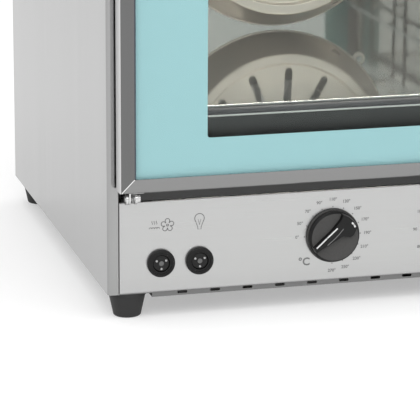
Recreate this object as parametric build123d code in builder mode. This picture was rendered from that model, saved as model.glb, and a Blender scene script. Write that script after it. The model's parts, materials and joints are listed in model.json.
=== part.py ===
"""Countertop convection oven with a drop-down glass door and a control panel below it.

Millimetres, +Z up, front towards -Y. The origin is on the ground, at the centre of the
bounding box. Heights are measured from the ground, and depths from the body's front face.
"""
from build123d import *
from math import asin, cos, degrees, radians, sin
import os

# Overall size
WIDTH = 595
HEIGHT = 565
BODY_DEPTH = 530
HANDLE_REACH = 70
REAR_STANDOFF = 20
FRONT = HANDLE_REACH - (HANDLE_REACH + BODY_DEPTH + REAR_STANDOFF) / 2
BACK = FRONT + BODY_DEPTH
HALF = WIDTH / 2

# Fits: a shaft in its bearing, a hole round a fixed part, and parts that only pass each other
RUNNING_FIT = 0.05
HOLE_FIT = 0.1
LOOSE_FIT = 0.3
CUT = 1

# Casing, a folded sheet with returns at the front and the back
SHEET = 1.2
BEND = 4
CASING_BOTTOM = 29.3
CASING_RETURN = 11.5
TOP_RETURN = 8
REAR_RETURN = 15
REAR_SILL = 12

# Base pan: a plate under the casing, sunk between the feet
PAN_RECESS = 3
PAN_PLATE = CASING_BOTTOM - SHEET
PAN_FLOOR = 23.5
PAN_SUNK_HALF = 249
STRIP_SLOTS = 13
STRIP_SLOT_PITCH = 36
STRIP_SLOT_LENGTH = 11
STRIP_SLOT_WIDTH = 3
FLOOR_SLOT_PITCH = 52
FLOOR_SLOT_ROWS_APART = 300
FLOOR_SLOT_LENGTH = 60
FLOOR_SLOT_WIDTH = 5
FLOOR_SLOTS = 7

# Feet
FOOT_HEIGHT = PAN_PLATE
FOOT_TOP_R = 20.8
FOOT_BOTTOM_R = 15.1
FOOT_RIM = 4
FOOT_ROUND = 2.4
FOOT_INSET_X = 26
FOOT_INSET_Y = 24
FOOT_RECESS_R = 7.5
FOOT_RECESS_DEPTH = 13
FOOT_SCREW_R = 3.1
FOOT_HOLE_R = 3.2
FOOT_SCREW_HEAD_R = 6
FOOT_SCREW_HEAD = 3
FOOT_SCREW_CROSS = 7
FOOT_SCREW_GRIP = 6

# Sheet-metal screws: round heads with a cross recess
SCREW_HEAD_R = 4
SCREW_HEAD = 2.2
SCREW_SHANK_R = 2.1
SCREW_CROSS = 5
CROSS_WIDTH = 1.1
CROSS_DEPTH = 1

# Control panel
PANEL_TOP = 129.7
PANEL_GAP = 0.6
PANEL_HALF = HALF - CASING_RETURN - PANEL_GAP
PANEL_FOLD = 14
PANEL_BEND = 2

# Thermostat and timer
CONTROL_Z = 79.1
THERMOSTAT_X = -50.8
TIMER_X = 82.5
SPINDLE_R = 3
BUSH_R = 5
KNOB_SKIRT_R = 29.5
KNOB_DRUM_R = 28
KNOB_BEVEL = 2.4
KNOB_WALL = 4.5
GRIP_REACH = 27.4
GRIP_TAPER = 12
KNOB_POINTER_DEG = 36
TIMER_POINTER_DEG = 90
KNOB_BACK = FRONT - 1.2
KNOB_SKIRT_FACE = FRONT - 3.7
KNOB_FACE = FRONT - 10
GRIP_FACE = FRONT - 14.5
SPINDLE_END = FRONT - 8

# Push buttons and indicator lamps
BUTTON_Z = 61.4
BUTTON_XS = {"fan": -240.3, "light": -198.3}
BEZEL_R = 15
BEZEL_LIP_R = 11.6
BARREL_R = 11
CAP_R = 9
BEZEL_FACE = FRONT - 4.5
CAP_FACE = FRONT - 2.5
LAMP_XS = {"power_lamp": 172, "heating_lamp": 205}
LAMP_LENS_R = 6.5
LAMP_BARREL_R = 4.8

# Cavity, measured inside the liner
CAVITY_HALF = 235
CAVITY_HEIGHT = 300
CAVITY_DEPTH = 395
CAVITY_FLOOR = 229.1
CAVITY_ROOF = CAVITY_FLOOR + CAVITY_HEIGHT
CAVITY_MID_Z = (CAVITY_FLOOR + CAVITY_ROOF) / 2
WALL = FRONT + CAVITY_DEPTH
LINER = 1
LINER_FLANGE = 13
LIP = 2.1
LIP_ROUND = 0.9
WOOL = 25
WOOL_GAP = 0.2

# Silicone gasket round the cavity's mouth
GASKET_GAP = 3.2
GASKET_WIDTH = 7.2
GASKET_FACE = FRONT - 4.8
GASKET_ROUND = 2.6

# Fan, its cover and its motor, in line on the back wall
FAN_Z = CAVITY_MID_Z
COVER_R = 145
COVER_SHOULDER_R = 126
COVER_RIM_R = 115
COVER_FLANGE_R = 147.5
COVER_DEPTH = 45
COVER_SINK = 4
COVER_LUG_R = 151
COVER_LUG_HALF = 8
COVER_SLOTS = 14
COVER_SLOT_START = 273
COVER_SLOT_LENGTH = 68
COVER_SLOT_WIDTH = 9.5
SLOT_MIDDLE_R = 74.5
IMPELLER_R = 88
IMPELLER_BLADES = 12
BLADE_LENGTH = 40
BLADE_TILT = 14
BLADE_START = 8
IMPELLER_BACK = WALL - 9
IMPELLER_FRONT = WALL - 35
HUB_R = 13
NUT_R = 9
NUT_HEIGHT = 6
SHAFT_R = 5
MOTOR_R = 42
MOTOR_ROUND = 4
MOTOR_BOSS_R = 14
MOTOR_BOSS_REACH = 10
MOTOR_FINS = 24
FIN_THICK = 2
FIN_RISE = 3
FIN_LENGTH = 40
MOTOR_FRONT = WALL + WOOL + 6
MOTOR_BACK = MOTOR_FRONT + 64
MOTOR_PLATE = 2
MOTOR_PLATE_HALF = 90
MOTOR_POST_OFFSET = 75
MOTOR_POST_R = 5

# Ring element round the impeller
ELEMENT_R = 108
ELEMENT_TUBE_R = 4
ELEMENT_Y = WALL - 22
ELEMENT_LEG_X = 16
ELEMENT_LEG_Z = FAN_Z - (ELEMENT_R**2 - ELEMENT_LEG_X**2) ** 0.5

# Oven lamp, steam vent and cable gland
LAMP_X = 188
LAMP_Z = CAVITY_FLOOR + 238
LAMP_SOCKET_R = 15
LAMP_GLASS_R = 20
LAMP_GLASS_WALL = 2
LAMP_GLASS_SKIRT = 6
VENT_X = -185
VENT_Z = 485
VENT_R = 12
VENT_WALL = 1
GLAND_X = 225
GLAND_Z = 75
GLAND_BORE_R = 4.5
GLAND_THREAD_R = 9.8

# Back panel
BACK_PANEL_HALF = HALF - 5
BACK_PANEL_LOW = CASING_BOTTOM + 2
BACK_PANEL_HIGH = HEIGHT - 6
LOUVRE_ROWS = 9
LOUVRE_PITCH = 12
LOUVRE_LENGTH = 120
LOUVRE_WIDTH = 5
SCREW_INSET = 10
LOUVRE_BANKS = ((-90, FAN_Z), (90, FAN_Z), (-90, 130), (90, 130))

# Door
DOOR_HALF = 289
DOOR_BOTTOM = 144.7
DOOR_TOP = 552.7
DOOR_BACK = FRONT - 5
DOOR_FRONT = FRONT - 25
DOOR_FACE = 15
DOOR_BACK_RETURN = 13
DOOR_WALL = 1.5
DOOR_BEND = 3
MITRE = 22
MITRE_GAP = 0.12
GLASS = 4
GLASS_GAP = 1.2
GLASS_FRONT = DOOR_FRONT + DOOR_WALL + HOLE_FIT
GLASS_BACK = GLASS_FRONT + GLASS
INNER_FRAME_BACK = DOOR_BACK - DOOR_WALL
WINDOW_HALF = 225
WINDOW_LOW = CAVITY_FLOOR - 42

# Door handle
HANDLE_R = 11
HANDLE_HALF = 235
HANDLE_Z = 516.7
HANDLE_Y = FRONT - HANDLE_REACH + HANDLE_R
HANDLE_POST_X = 200
HANDLE_POST_R = 8
HANDLE_COLLAR_R = 11
STUD_R = 4
WINDOW_HIGH = HANDLE_Z - 16

# Hinges under the door's lower corners, given by distances from the middle
HINGE_Y = FRONT - 13
HINGE_Z = 136.7
HINGE_PIN_R = 3
HINGE_HEAD_R = 4.5
HINGE_EAR_R = 6
EAR_OUT = 281.5
EAR_IN = 269.5
EAR_THICK = 2.5
TAB_OUT = EAR_OUT - EAR_THICK - 0.4
TAB_THICK = 1.8
TAB_FOOT = 16
BRACKET_Y = FRONT + 2 * SHEET + 0.2
BRACKET_RISE = 50
SPRING_R = 4.6
SPRING_WIRE_R = 0.5
SPRING_TURNS = 2
SPRING_PITCH = 1.6
SPRING_START = EAR_IN + EAR_THICK + 0.8

# Racks and the side supports that carry them
RACK_LEVELS = [45, 115, 185, 255]
FITTED_RACKS = {"wire_rack_lower": 115, "wire_rack_upper": 185}
RACK_SIDE_X = 217
RACK_ROD_R = 3
RACK_WIRE_R = 1.6
RACK_WIRES = 17
RACK_FRONT = FRONT + 20
RACK_BACK = FRONT + 344
RAIL_R = 2.5
STUB_R = 2
UPRIGHT_X = 227
UPRIGHT_YS = (FRONT + 45, FRONT + 180, FRONT + 315)
SUPPORT_LOW = CAVITY_FLOOR + 12
SUPPORT_HIGH = CAVITY_ROOF - 12
ANCHOR_INSET = 8

SIDES = {"left": -1, "right": 1}

os.makedirs("parts", exist_ok=True)


def facing(y, x=0, z=0, turn=0):
    """Plane across the oven at depth y, seen from the front: x right, y up, normal towards the front."""
    x_dir = (cos(radians(turn)), 0, sin(radians(turn)))
    return Plane(origin=(x, y, z), x_dir=x_dir, z_dir=(0, -1, 0))


def across(x, y, z):
    """Plane that faces along the width, with its own x along the depth and its y up."""
    return Plane(origin=(x, y, z), x_dir=(0, 1, 0), z_dir=(1, 0, 0))


def one_side(side, near, far):
    """Low and high x of a stretch on one side, given by its distances from the middle."""
    return sorted((side * near, side * far))


def save(builder, label):
    """Label a finished piece and write its STEP file."""
    builder.part.label = label
    export_step(builder.part, f"parts/{label}.step")


def slab(x_low, x_high, y_low, y_high, z_low, z_high, mode=Mode.ADD):
    """Box between two corners."""
    centre = ((x_low + x_high) / 2, (y_low + y_high) / 2, (z_low + z_high) / 2)
    with Locations(centre):
        Box(x_high - x_low, y_high - y_low, z_high - z_low, mode=mode)


def rod_x(y, z, radius, x_low, x_high, mode=Mode.ADD):
    """Round bar across the width."""
    with BuildSketch(across(x_low, y, z)) as disc:
        Circle(radius)
    extrude(disc.sketch, amount=x_high - x_low, mode=mode)


def rod_y(x, z, radius, y_low, y_high, mode=Mode.ADD):
    """Round bar along the depth."""
    with BuildSketch(facing(y_low, x, z)) as disc:
        Circle(radius)
    extrude(disc.sketch, amount=y_low - y_high, mode=mode)


def rod_z(x, y, radius, z_low, z_high, mode=Mode.ADD):
    """Upright round bar."""
    with BuildSketch(Plane.XY.offset(z_low)) as disc:
        with Locations((x, y)):
            Circle(radius)
    extrude(disc.sketch, amount=z_high - z_low, mode=mode)


def cross_recess(head_face, length):
    """Cross cut into a screw's head, whose outer face is given as a plane that looks outwards."""
    with BuildSketch(head_face) as cross:
        Rectangle(length, CROSS_WIDTH)
        Rectangle(CROSS_WIDTH, length)
    extrude(cross.sketch, amount=-CROSS_DEPTH, mode=Mode.SUBTRACT)


# Outer casing: folded sheet over the top and both sides
FRONT_OPENING = HALF - CASING_RETURN
REAR_OPENING = HALF - REAR_RETURN
with BuildPart() as outer_casing:
    slab(-HALF, HALF, FRONT, BACK, CASING_BOTTOM, HEIGHT)
    front_uprights = outer_casing.edges().filter_by(Axis.Z).group_by(Axis.Y)[0]
    top_edges = outer_casing.faces().sort_by(Axis.Z)[-1].edges()
    fillet(front_uprights + top_edges, radius=BEND)
    offset(amount=-SHEET, mode=Mode.SUBTRACT)
    slab(-FRONT_OPENING, FRONT_OPENING, FRONT - CUT, FRONT + BEND,
         CASING_BOTTOM - CUT, HEIGHT - TOP_RETURN, Mode.SUBTRACT)
    slab(-REAR_OPENING, REAR_OPENING, BACK - BEND, BACK + CUT,
         CASING_BOTTOM + REAR_SILL, HEIGHT - REAR_RETURN, Mode.SUBTRACT)
    slab(-FRONT_OPENING, FRONT_OPENING, FRONT - CUT, BACK - REAR_RETURN,
         CASING_BOTTOM - CUT, CASING_BOTTOM + BEND, Mode.SUBTRACT)
save(outer_casing, "outer_casing")

# Rubber feet: tapered, with a rim under the pan and a recess for the screw
FOOT_PLACES = {
    "foot_front_left": (-HALF + FOOT_INSET_X, FRONT + FOOT_INSET_Y),
    "foot_front_right": (HALF - FOOT_INSET_X, FRONT + FOOT_INSET_Y),
    "foot_rear_left": (-HALF + FOOT_INSET_X, BACK - FOOT_INSET_Y),
    "foot_rear_right": (HALF - FOOT_INSET_X, BACK - FOOT_INSET_Y),
}
RIM_LOW = FOOT_HEIGHT - FOOT_RIM
for foot_name, (foot_x, foot_y) in FOOT_PLACES.items():
    with BuildPart() as foot:
        with BuildSketch(Plane(origin=(foot_x, foot_y, 0), x_dir=(1, 0, 0), z_dir=(0, -1, 0))):
            with BuildLine():
                Polyline((FOOT_HOLE_R, FOOT_RECESS_DEPTH), (FOOT_RECESS_R, FOOT_RECESS_DEPTH),
                         (FOOT_RECESS_R, 0), (FOOT_BOTTOM_R - FOOT_ROUND, 0))
                TangentArc((FOOT_BOTTOM_R - FOOT_ROUND, 0), (FOOT_BOTTOM_R, FOOT_ROUND), tangent=(1, 0))
                Polyline((FOOT_BOTTOM_R, FOOT_ROUND), (FOOT_TOP_R - 1, RIM_LOW), (FOOT_TOP_R, RIM_LOW),
                         (FOOT_TOP_R, FOOT_HEIGHT), (FOOT_HOLE_R, FOOT_HEIGHT),
                         (FOOT_HOLE_R, FOOT_RECESS_DEPTH))
            make_face()
        revolve(axis=Axis(origin=(foot_x, foot_y, 0), direction=(0, 0, 1)))
    save(foot, foot_name)

SCREW_HEAD_LOW = FOOT_RECESS_DEPTH - FOOT_SCREW_HEAD
with BuildPart() as foot_screws:
    for foot_x, foot_y in FOOT_PLACES.values():
        rod_z(foot_x, foot_y, FOOT_SCREW_HEAD_R, SCREW_HEAD_LOW, FOOT_RECESS_DEPTH)
        rod_z(foot_x, foot_y, FOOT_SCREW_R, FOOT_RECESS_DEPTH, FOOT_HEIGHT + FOOT_SCREW_GRIP)
        head_face = Plane(origin=(foot_x, foot_y, SCREW_HEAD_LOW), z_dir=(0, 0, -1))
        cross_recess(head_face, FOOT_SCREW_CROSS)
save(foot_screws, "foot_screws")

# Base pan: a plate with a sunk tray between the feet, and air slots in the tray's front and floor
PAN_HALF = HALF - PAN_RECESS
PAN_FRONT = FRONT + PAN_RECESS
PAN_BACK = BACK - PAN_RECESS
with BuildPart() as base_pan:
    slab(-PAN_HALF, PAN_HALF, PAN_FRONT, PAN_BACK, PAN_PLATE, CASING_BOTTOM)
    slab(-PAN_SUNK_HALF, PAN_SUNK_HALF, PAN_FRONT, PAN_BACK, PAN_FLOOR, CASING_BOTTOM)
    slab(SHEET - PAN_SUNK_HALF, PAN_SUNK_HALF - SHEET, PAN_FRONT + SHEET, PAN_BACK - SHEET,
         PAN_FLOOR + SHEET, CASING_BOTTOM + CUT, Mode.SUBTRACT)
    with BuildSketch(facing(PAN_FRONT - CUT, 0, (PAN_FLOOR + SHEET + CASING_BOTTOM) / 2)):
        with GridLocations(STRIP_SLOT_PITCH, 1, STRIP_SLOTS, 1):
            SlotOverall(STRIP_SLOT_LENGTH, STRIP_SLOT_WIDTH)
    extrude(amount=-CUT - 2, mode=Mode.SUBTRACT)
    with BuildSketch(Plane.XY.offset(PAN_FLOOR - CUT)):
        with Locations((0, (FRONT + BACK) / 2)):
            with GridLocations(FLOOR_SLOT_PITCH, FLOOR_SLOT_ROWS_APART, FLOOR_SLOTS, 2):
                SlotOverall(FLOOR_SLOT_LENGTH, FLOOR_SLOT_WIDTH, rotation=90)
        with Locations(*FOOT_PLACES.values()):
            Circle(FOOT_HOLE_R)
    extrude(amount=CASING_BOTTOM - PAN_FLOOR + 2 * CUT, mode=Mode.SUBTRACT)
save(base_pan, "base_pan")

# Control panel: tray-shaped front with holes for the buttons, bushes and lamps
PANEL_HOLES = [(x, BUTTON_Z, BARREL_R + HOLE_FIT) for x in BUTTON_XS.values()]
PANEL_HOLES += [(x, CONTROL_Z, BUSH_R + HOLE_FIT) for x in (THERMOSTAT_X, TIMER_X)]
PANEL_HOLES += [(x, CONTROL_Z, LAMP_BARREL_R + HOLE_FIT) for x in LAMP_XS.values()]
with BuildPart() as control_panel:
    slab(-PANEL_HALF, PANEL_HALF, FRONT, FRONT + PANEL_FOLD, CASING_BOTTOM, PANEL_TOP)
    fillet(control_panel.faces().sort_by(Axis.Y)[0].edges(), radius=PANEL_BEND)
    offset(amount=-SHEET, openings=control_panel.faces().sort_by(Axis.Y)[-1])
    for hole_x, hole_z, hole_r in PANEL_HOLES:
        rod_y(hole_x, hole_z, hole_r, FRONT - CUT, FRONT + SHEET + CUT, Mode.SUBTRACT)
save(control_panel, "control_panel")

# Front frame: sheet behind the door, round the cavity, and down to the panel between the hinges
FRAME_HALF = HALF - 5.5
FRAME_FRONT = FRONT + SHEET + HOLE_FIT
FRAME_GAP = LINER + 0.2
FRAME_SKIRT_HALF = EAR_IN - 1
with BuildPart() as front_frame:
    slab(-FRAME_HALF, FRAME_HALF, FRAME_FRONT, FRAME_FRONT + SHEET, DOOR_BOTTOM + 3, HEIGHT - 5.5)
    slab(-FRAME_SKIRT_HALF, FRAME_SKIRT_HALF, FRAME_FRONT, FRAME_FRONT + SHEET,
         PANEL_TOP + 0.5, DOOR_BOTTOM + 4)
    slab(-CAVITY_HALF - FRAME_GAP, CAVITY_HALF + FRAME_GAP, FRAME_FRONT - CUT, FRAME_FRONT + SHEET + CUT,
         CAVITY_FLOOR - FRAME_GAP, CAVITY_ROOF + FRAME_GAP, Mode.SUBTRACT)
save(front_frame, "front_frame")

# Back panel: louvred cover over the motor and the wiring
with BuildPart() as back_panel:
    slab(-BACK_PANEL_HALF, BACK_PANEL_HALF, BACK, BACK + SHEET, BACK_PANEL_LOW, BACK_PANEL_HIGH)
    for bank_x, bank_z in LOUVRE_BANKS:
        with BuildSketch(facing(BACK - CUT, bank_x, bank_z)):
            with GridLocations(1, LOUVRE_PITCH, 1, LOUVRE_ROWS):
                SlotOverall(LOUVRE_LENGTH, LOUVRE_WIDTH)
        extrude(amount=-SHEET - 2 * CUT, mode=Mode.SUBTRACT)
    rod_y(VENT_X, VENT_Z, VENT_R + HOLE_FIT, BACK - CUT, BACK + SHEET + CUT, Mode.SUBTRACT)
    rod_y(GLAND_X, GLAND_Z, GLAND_THREAD_R + HOLE_FIT, BACK - CUT, BACK + SHEET + CUT, Mode.SUBTRACT)
save(back_panel, "back_panel")

SCREW_FACE = BACK + SHEET + SCREW_HEAD
SCREW_ZS = (BACK_PANEL_LOW + 12, CAVITY_MID_Z - 80, CAVITY_MID_Z + 60, BACK_PANEL_HIGH - 10)
with BuildPart() as back_panel_screws:
    for screw_x in (-HALF + SCREW_INSET, HALF - SCREW_INSET):
        for screw_z in SCREW_ZS:
            rod_y(screw_x, screw_z, SCREW_HEAD_R, BACK + SHEET, SCREW_FACE)
            cross_recess(Plane(origin=(screw_x, SCREW_FACE, screw_z), z_dir=(0, 1, 0)), SCREW_CROSS)
save(back_panel_screws, "back_panel_screws")

# Cavity liner: folded box, open at the front, with a rolled lip and a flange round its mouth
LINER_HOLES = [(0, FAN_Z, SHAFT_R + 3), (LAMP_X, LAMP_Z, LAMP_SOCKET_R + HOLE_FIT)]
LINER_HOLES += [(VENT_X, VENT_Z, VENT_R + HOLE_FIT)]
LINER_HOLES += [(x, ELEMENT_LEG_Z, ELEMENT_TUBE_R + 0.5) for x in (-ELEMENT_LEG_X, ELEMENT_LEG_X)]
with BuildPart() as cavity_liner:
    slab(-CAVITY_HALF - LINER, CAVITY_HALF + LINER, FRONT + 0.2, WALL + LINER,
         CAVITY_FLOOR - LINER, CAVITY_ROOF + LINER)
    slab(-CAVITY_HALF - LINER_FLANGE, CAVITY_HALF + LINER_FLANGE, FRONT + 0.2, FRONT + SHEET,
         CAVITY_FLOOR - LINER_FLANGE, CAVITY_ROOF + LINER_FLANGE)
    slab(-CAVITY_HALF - LIP, CAVITY_HALF + LIP, FRONT - 2, FRONT + 0.6, CAVITY_FLOOR - LIP, CAVITY_ROOF + LIP)
    slab(-CAVITY_HALF, CAVITY_HALF, FRONT - 3, WALL, CAVITY_FLOOR, CAVITY_ROOF, Mode.SUBTRACT)
    fillet(cavity_liner.faces().sort_by(Axis.Y)[0].edges(), radius=LIP_ROUND)
    for hole_x, hole_z, hole_r in LINER_HOLES:
        rod_y(hole_x, hole_z, hole_r, WALL - CUT, WALL + LINER + CUT, Mode.SUBTRACT)
save(cavity_liner, "cavity_liner")

# Mineral wool round the liner and behind it
WOOL_IN = CAVITY_HALF + LINER + WOOL_GAP
WOOL_LOW = CAVITY_FLOOR - LINER - WOOL_GAP
WOOL_HIGH = CAVITY_ROOF + LINER + WOOL_GAP
with BuildPart() as insulation_wrap:
    slab(-WOOL_IN - WOOL, WOOL_IN + WOOL, FRONT + 6, WALL, WOOL_LOW - WOOL, WOOL_HIGH + WOOL)
    slab(-WOOL_IN, WOOL_IN, FRONT, WALL + CUT, WOOL_LOW, WOOL_HIGH, Mode.SUBTRACT)
save(insulation_wrap, "insulation_wrap")

MOTOR_POSTS = [(x, FAN_Z + z) for x in (-MOTOR_POST_OFFSET, MOTOR_POST_OFFSET)
               for z in (-MOTOR_POST_OFFSET, MOTOR_POST_OFFSET)]
WOOL_HOLES = [(0, FAN_Z, MOTOR_BOSS_R + 1), (LAMP_X, LAMP_Z, LAMP_SOCKET_R + 1)]
WOOL_HOLES += [(VENT_X, VENT_Z, VENT_R + 0.5)]
WOOL_HOLES += [(x, ELEMENT_LEG_Z, ELEMENT_TUBE_R + 2) for x in (-ELEMENT_LEG_X, ELEMENT_LEG_X)]
WOOL_HOLES += [(x, z, MOTOR_POST_R + LOOSE_FIT) for x, z in MOTOR_POSTS]
WOOL_FRONT = WALL + LINER + WOOL_GAP
with BuildPart() as insulation_rear:
    slab(-WOOL_IN - WOOL, WOOL_IN + WOOL, WOOL_FRONT, WOOL_FRONT + WOOL, WOOL_LOW - WOOL, WOOL_HIGH + WOOL)
    for hole_x, hole_z, hole_r in WOOL_HOLES:
        rod_y(hole_x, hole_z, hole_r, WOOL_FRONT - CUT, WOOL_FRONT + WOOL + CUT, Mode.SUBTRACT)
save(insulation_rear, "insulation_rear")

# Silicone gasket on the liner's flange, which the closed door meets
GASKET_IN = CAVITY_HALF + GASKET_GAP
GASKET_LOW = CAVITY_FLOOR - GASKET_GAP
GASKET_HIGH = CAVITY_ROOF + GASKET_GAP
with BuildPart() as cavity_gasket:
    slab(-GASKET_IN - GASKET_WIDTH, GASKET_IN + GASKET_WIDTH, GASKET_FACE, FRONT + 0.2,
         GASKET_LOW - GASKET_WIDTH, GASKET_HIGH + GASKET_WIDTH)
    slab(-GASKET_IN, GASKET_IN, GASKET_FACE - CUT, FRONT + CUT, GASKET_LOW, GASKET_HIGH, Mode.SUBTRACT)
    fillet(cavity_gasket.faces().sort_by(Axis.Y)[0].edges(), radius=GASKET_ROUND)
save(cavity_gasket, "cavity_gasket")

# Fan cover: round dish on the back wall, with four lugs and radial slots in its sunk face
COVER_SHEET = 1
COVER_SUNK_Y = COVER_SINK - COVER_DEPTH
COVER_SUNK_R = COVER_RIM_R - 3
with BuildPart() as fan_cover:
    with BuildSketch(Plane(origin=(0, WALL, FAN_Z), x_dir=(1, 0, 0), z_dir=(0, 0, 1))):
        with BuildLine():
            outside = FilletPolyline((COVER_FLANGE_R, 0), (COVER_FLANGE_R, -COVER_SHEET),
                                     (COVER_R, -COVER_SHEET), (COVER_SHOULDER_R, -COVER_DEPTH),
                                     (COVER_RIM_R, -COVER_DEPTH), (COVER_SUNK_R, COVER_SUNK_Y),
                                     (0, COVER_SUNK_Y), radius=[0.4, 1.5, 3, 1, 1])
            inside = Polyline((0, COVER_SUNK_Y + COVER_SHEET),
                              (COVER_SUNK_R - 0.6, COVER_SUNK_Y + COVER_SHEET),
                              (COVER_RIM_R - 0.6, COVER_SHEET - COVER_DEPTH),
                              (COVER_SHOULDER_R - 0.7, COVER_SHEET - COVER_DEPTH),
                              (COVER_R - 1.1, 0), (COVER_FLANGE_R, 0))
            Line(outside @ 1, inside @ 0)
        make_face()
    revolve(axis=Axis(origin=(0, WALL, FAN_Z), direction=(0, 1, 0)))
    with BuildSketch(facing(WALL, 0, FAN_Z)):
        with PolarLocations(COVER_LUG_R, 4, start_angle=45):
            Circle(COVER_LUG_HALF)
        Circle(COVER_R, mode=Mode.SUBTRACT)
    extrude(amount=COVER_SHEET)
    with BuildSketch(facing(WALL + CUT, 0, FAN_Z)):
        with PolarLocations(COVER_LUG_R, 4, start_angle=45):
            Circle(SCREW_SHANK_R + HOLE_FIT)
    extrude(amount=COVER_SHEET + 3 * CUT, mode=Mode.SUBTRACT)
    with BuildSketch(facing(WALL + COVER_SUNK_Y + 4, 0, FAN_Z)):
        with PolarLocations(SLOT_MIDDLE_R, COVER_SLOTS, start_angle=COVER_SLOT_START):
            SlotOverall(COVER_SLOT_LENGTH, COVER_SLOT_WIDTH)
    extrude(amount=8, mode=Mode.SUBTRACT)
save(fan_cover, "fan_cover")

with BuildPart() as fan_cover_screws:
    for screw_r, length in ((SCREW_HEAD_R, SCREW_HEAD), (SCREW_SHANK_R, -COVER_SHEET)):
        with BuildSketch(facing(WALL - COVER_SHEET, 0, FAN_Z)):
            with PolarLocations(COVER_LUG_R, 4, start_angle=45):
                Circle(screw_r)
        extrude(amount=length)
save(fan_cover_screws, "fan_cover_screws")

# Fan: impeller, nut, shaft, motor and its bracket
HUB_FRONT = IMPELLER_FRONT + 3
BLADE_BACK = IMPELLER_BACK - SHEET
with BuildPart() as fan_impeller:
    rod_y(0, FAN_Z, IMPELLER_R, BLADE_BACK, IMPELLER_BACK)
    rod_y(0, FAN_Z, HUB_R, HUB_FRONT, IMPELLER_BACK)
    with BuildSketch(facing(BLADE_BACK, 0, FAN_Z)):
        with PolarLocations(0, IMPELLER_BLADES, start_angle=BLADE_START):
            with Locations((IMPELLER_R - BLADE_LENGTH / 2 - 1, 0)):
                Rectangle(BLADE_LENGTH, SHEET, rotation=BLADE_TILT)
    extrude(amount=BLADE_BACK - IMPELLER_FRONT)
    rod_y(0, FAN_Z, SHAFT_R, IMPELLER_FRONT - CUT, IMPELLER_BACK + CUT, Mode.SUBTRACT)
save(fan_impeller, "fan_impeller")

with BuildPart() as impeller_nut:
    with BuildSketch(facing(HUB_FRONT, 0, FAN_Z)):
        RegularPolygon(NUT_R, 6)
        Circle(SHAFT_R, mode=Mode.SUBTRACT)
    extrude(amount=NUT_HEIGHT)
save(impeller_nut, "impeller_nut")

with BuildPart() as motor_shaft:
    rod_y(0, FAN_Z, SHAFT_R, IMPELLER_FRONT - 4, MOTOR_BACK + 16)
    chamfer(motor_shaft.edges().filter_by(GeomType.CIRCLE), length=0.8)
save(motor_shaft, "motor_shaft")

with BuildPart() as motor_bracket:
    slab(-MOTOR_PLATE_HALF, MOTOR_PLATE_HALF, MOTOR_FRONT - MOTOR_PLATE, MOTOR_FRONT,
         FAN_Z - MOTOR_PLATE_HALF, FAN_Z + MOTOR_PLATE_HALF)
    for post_x, post_z in MOTOR_POSTS:
        rod_y(post_x, post_z, MOTOR_POST_R, WALL + LINER, MOTOR_FRONT - MOTOR_PLATE)
    rod_y(0, FAN_Z, MOTOR_BOSS_R + 6, MOTOR_FRONT - MOTOR_PLATE - CUT, MOTOR_FRONT + CUT, Mode.SUBTRACT)
save(motor_bracket, "motor_bracket")

with BuildPart() as motor_housing:
    rod_y(0, FAN_Z, MOTOR_R, MOTOR_FRONT, MOTOR_BACK)
    fillet(motor_housing.edges().filter_by(GeomType.CIRCLE), radius=MOTOR_ROUND)
    boss_front, boss_back = MOTOR_FRONT - MOTOR_BOSS_REACH + 2, MOTOR_BACK + MOTOR_BOSS_REACH
    rod_y(0, FAN_Z, MOTOR_BOSS_R, boss_front, boss_back)
    with BuildSketch(facing((MOTOR_FRONT + MOTOR_BACK - FIN_LENGTH) / 2, 0, FAN_Z)):
        with PolarLocations(0, MOTOR_FINS):
            with Locations((MOTOR_R + FIN_RISE / 2 - 1, 0)):
                Rectangle(FIN_RISE + 2, FIN_THICK)
    extrude(amount=-FIN_LENGTH)
    rod_y(0, FAN_Z, SHAFT_R + RUNNING_FIT, boss_front - CUT, boss_back + CUT, Mode.SUBTRACT)
save(motor_housing, "motor_housing")

# Ring element round the impeller: one open ring, with two legs through the back wall
with BuildPart() as heating_element:
    ring_start = (ELEMENT_LEG_X, ELEMENT_Y, ELEMENT_LEG_Z)
    along_ring = (FAN_Z - ELEMENT_LEG_Z, 0, ELEMENT_LEG_X)
    with BuildSketch(Plane(origin=ring_start, x_dir=(0, 1, 0), z_dir=along_ring)):
        Circle(ELEMENT_TUBE_R)
    revolve(axis=Axis(origin=(0, ELEMENT_Y, FAN_Z), direction=(0, -1, 0)),
            revolution_arc=360 - 2 * degrees(asin(ELEMENT_LEG_X / ELEMENT_R)))
    for leg_x in (-ELEMENT_LEG_X, ELEMENT_LEG_X):
        with Locations((leg_x, ELEMENT_Y, ELEMENT_LEG_Z)):
            Sphere(ELEMENT_TUBE_R)
        rod_y(leg_x, ELEMENT_LEG_Z, ELEMENT_TUBE_R, ELEMENT_Y, WALL + WOOL + 14)
save(heating_element, "heating_element")

# Oven lamp in the back wall: holder, bulb and glass
with BuildPart() as lamp_holder:
    rod_y(LAMP_X, LAMP_Z, LAMP_GLASS_R + 4, WALL - LAMP_GLASS_WALL, WALL)
    rod_y(LAMP_X, LAMP_Z, LAMP_SOCKET_R, WALL, WALL + WOOL + 20)
    rod_y(LAMP_X, LAMP_Z, LAMP_SOCKET_R - 3, WALL - 3, WALL + WOOL, Mode.SUBTRACT)
save(lamp_holder, "lamp_holder")

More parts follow.
